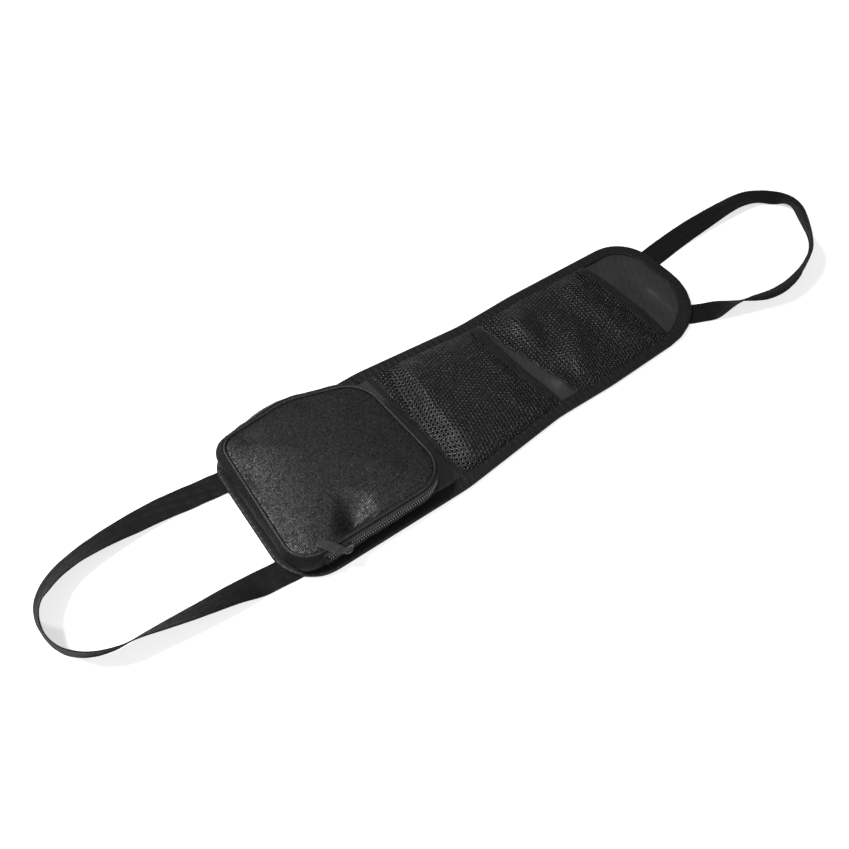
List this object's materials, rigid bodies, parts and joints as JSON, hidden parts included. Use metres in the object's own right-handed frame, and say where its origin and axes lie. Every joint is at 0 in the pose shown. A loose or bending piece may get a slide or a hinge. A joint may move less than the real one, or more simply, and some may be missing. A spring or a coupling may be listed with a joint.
{
  "type": "car seat side organizer",
  "caption": "Long soft panel with bound edges, a zipped box pocket, open net pockets and an elastic webbing loop at each end, for the side of a car seat.",
  "frame": {"origin": "on the panel's back face, midway across its width and near the middle of its length", "axes": "+X along the panel towards the net pockets' mouths and the top loop, +Y across its width, +Z out of the front"},
  "size_m": [0.8799, 0.1815, 0.0324],
  "materials": {
    "lining": "fine ripstop weave",
    "binding": "folded ribbed tape",
    "webbing": "elastic webbing with fine lengthwise ribs",
    "net": "warp-knit mesh with a slight sheen",
    "net_tape": "folded tape",
    "pocket_fabric": "coated plain weave",
    "piping": "covered cord",
    "zip_tape": "woven zip tape",
    "zip_teeth": "satin moulded coil",
    "slider_metal": "dark enamel",
    "tab_metal": "dark enamel, lightly rubbed"
  },
  "bodies": {
    "root": {"back_panel": "lining", "edge_binding": "binding", "top_strap_loop": "webbing", "bottom_strap_loop": "webbing", "upper_net": "net", "middle_net": "net", "upper_net_tape": "net_tape", "middle_net_tape": "net_tape", "middle_net_hem": "net_tape", "pocket_gusset_lower": "pocket_fabric", "pocket_gusset_upper": "pocket_fabric", "pocket_hinge_gusset": "pocket_fabric", "pocket_face": "pocket_fabric", "pocket_piping": "piping", "zip_tape_lower": "zip_tape", "zip_tape_upper": "zip_tape", "zip_teeth_lower": "zip_teeth", "zip_teeth_upper": "zip_teeth"},
    "slider": {"zip_slider": "slider_metal"},
    "pull": {"pull_tab": "tab_metal"}
  },
  "joints": [
    {"name": "zip_slide", "type": "slide", "parent": "root", "child": "slider", "axis": [1, 0, 0], "range_m": [0, 0.07]},
    {"name": "tab_swing", "type": "hinge", "parent": "slider", "child": "pull", "pos_m": [-0.208, -0.08055, 0.0155], "axis": [0, 0, 1], "range_deg": [0, 165]}
  ]
}
